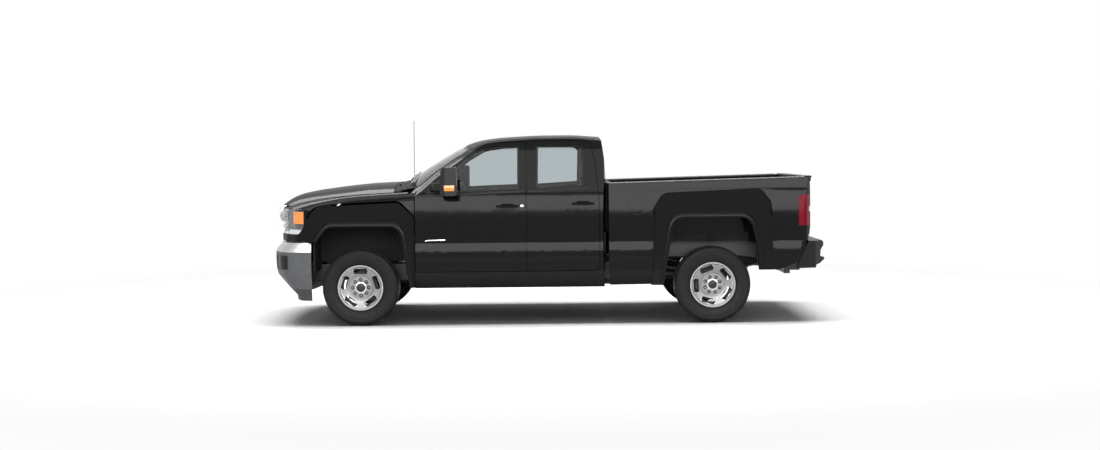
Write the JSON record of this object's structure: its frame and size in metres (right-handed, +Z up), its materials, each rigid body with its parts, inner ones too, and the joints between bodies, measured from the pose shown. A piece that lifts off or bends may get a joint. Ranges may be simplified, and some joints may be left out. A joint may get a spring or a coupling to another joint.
{
  "type": "pickup truck",
  "caption": "Dark pickup truck with an extended crew cab, long flared fenders, open cargo bed and polished wheels",
  "frame": {"origin": "on the ground, halfway along the truck and in its middle", "axes": "+X to the tail, +Y to the passenger's side, +Z up"},
  "size_m": [5.852, 2.6, 2.164],
  "materials": {
    "paint": "gloss",
    "glass": "gloss",
    "tyre": "matte",
    "wheel_alloy": "polished",
    "chrome": "polished",
    "grey_plastic": "textured",
    "black_plastic": "matte",
    "lamp_clear": "gloss",
    "lamp_red": "gloss",
    "chassis_black": "satin",
    "steel": "satin",
    "cast_iron": "rough",
    "fabric": "woven",
    "interior_plastic": "matte"
  },
  "bodies": {
    "root": {"antenna": "steel", "bed": "paint", "bumper_cover": "grey_plastic", "cab": "paint", "cab_glass": "glass", "cowl": "black_plastic", "dashboard": "interior_plastic", "driveshafts": "steel", "engine": "cast_iron", "exhaust": "steel", "fenders": "paint", "floor_pan": "interior_plastic", "frame": "chassis_black", "front_axle": "cast_iron", "front_bumper": "chrome", "front_valance": "grey_plastic", "fuel_tank": "black_plastic", "gearbox": "cast_iron", "headlamps": "lamp_clear", "inner_fenders": "black_plastic", "leaf_springs": "chassis_black", "rear_axle": "cast_iron", "rear_bumper": "grey_plastic", "roof": "paint", "seats": "fabric", "spare_wheel": "tyre", "steering_wheel": "interior_plastic", "suspension": "chassis_black", "tail_lamps": "lamp_red"},
    "door_front_left": {"door_front_left": "paint", "glass_front_left": "glass", "mirror_left": "black_plastic"},
    "door_front_right": {"door_front_right": "paint", "glass_front_right": "glass", "mirror_right": "black_plastic"},
    "door_rear_left": {"door_rear_left": "paint", "glass_rear_left": "glass"},
    "door_rear_right": {"door_rear_right": "paint", "glass_rear_right": "glass"},
    "hood": {"hood": "paint", "grille": "chrome"},
    "tailgate": {"tailgate": "paint"},
    "knuckle_left": {"knuckle_left": "cast_iron"},
    "knuckle_right": {"knuckle_right": "cast_iron"},
    "wheel_front_left": {"tyre_front_left": "tyre", "rim_front_left": "wheel_alloy"},
    "wheel_front_right": {"tyre_front_right": "tyre", "rim_front_right": "wheel_alloy"},
    "wheel_rear_left": {"tyre_rear_left": "tyre", "rim_rear_left": "wheel_alloy"},
    "wheel_rear_right": {"tyre_rear_right": "tyre", "rim_rear_right": "wheel_alloy"}
  },
  "joints": [
    {"name": "door_front_left_hinge", "type": "hinge", "parent": "root", "child": "door_front_left", "pos_m": [-1.333, -0.994, 1], "axis": [0, 0, -1], "range_deg": [0, 65]},
    {"name": "door_front_right_hinge", "type": "hinge", "parent": "root", "child": "door_front_right", "pos_m": [-1.333, 0.994, 1], "axis": [0, 0, 1], "range_deg": [0, 65]},
    {"name": "door_rear_left_hinge", "type": "hinge", "parent": "root", "child": "door_rear_left", "pos_m": [-0.1735, -0.994, 1], "axis": [0, 0, -1], "range_deg": [0, 65]},
    {"name": "door_rear_right_hinge", "type": "hinge", "parent": "root", "child": "door_rear_right", "pos_m": [-0.1735, 0.994, 1], "axis": [0, 0, 1], "range_deg": [0, 65]},
    {"name": "hood_hinge", "type": "hinge", "parent": "root", "child": "hood", "pos_m": [-1.602, 0, 1.478], "axis": [0, 1, 0], "range_deg": [0, 50]},
    {"name": "tailgate_hinge", "type": "hinge", "parent": "root", "child": "tailgate", "pos_m": [2.73, 0, 0.935], "axis": [0, 1, 0], "range_deg": [0, 90]},
    {"name": "steer_left", "type": "hinge", "parent": "root", "child": "knuckle_left", "pos_m": [-1.938, -0.78, 0.397], "axis": [0, 0, 1], "range_deg": [-30, 30]},
    {"name": "steer_right", "type": "hinge", "parent": "root", "child": "knuckle_right", "pos_m": [-1.938, 0.78, 0.397], "axis": [0, 0, 1], "range_deg": [-30, 30]},
    {"name": "spin_front_left", "type": "hinge", "parent": "knuckle_left", "child": "wheel_front_left", "pos_m": [-1.938, -0.874, 0.397], "axis": [0, 1, 0], "continuous": true},
    {"name": "spin_front_right", "type": "hinge", "parent": "knuckle_right", "child": "wheel_front_right", "pos_m": [-1.938, 0.874, 0.397], "axis": [0, 1, 0], "continuous": true},
    {"name": "spin_rear_left", "type": "hinge", "parent": "root", "child": "wheel_rear_left", "pos_m": [1.725, -0.866, 0.397], "axis": [0, 1, 0], "continuous": true},
    {"name": "spin_rear_right", "type": "hinge", "parent": "root", "child": "wheel_rear_right", "pos_m": [1.725, 0.866, 0.397], "axis": [0, 1, 0], "continuous": true}
  ],
  "couplings": [
    {"joint": "steer_right", "follows": "steer_left", "ratio": 1}
  ]
}
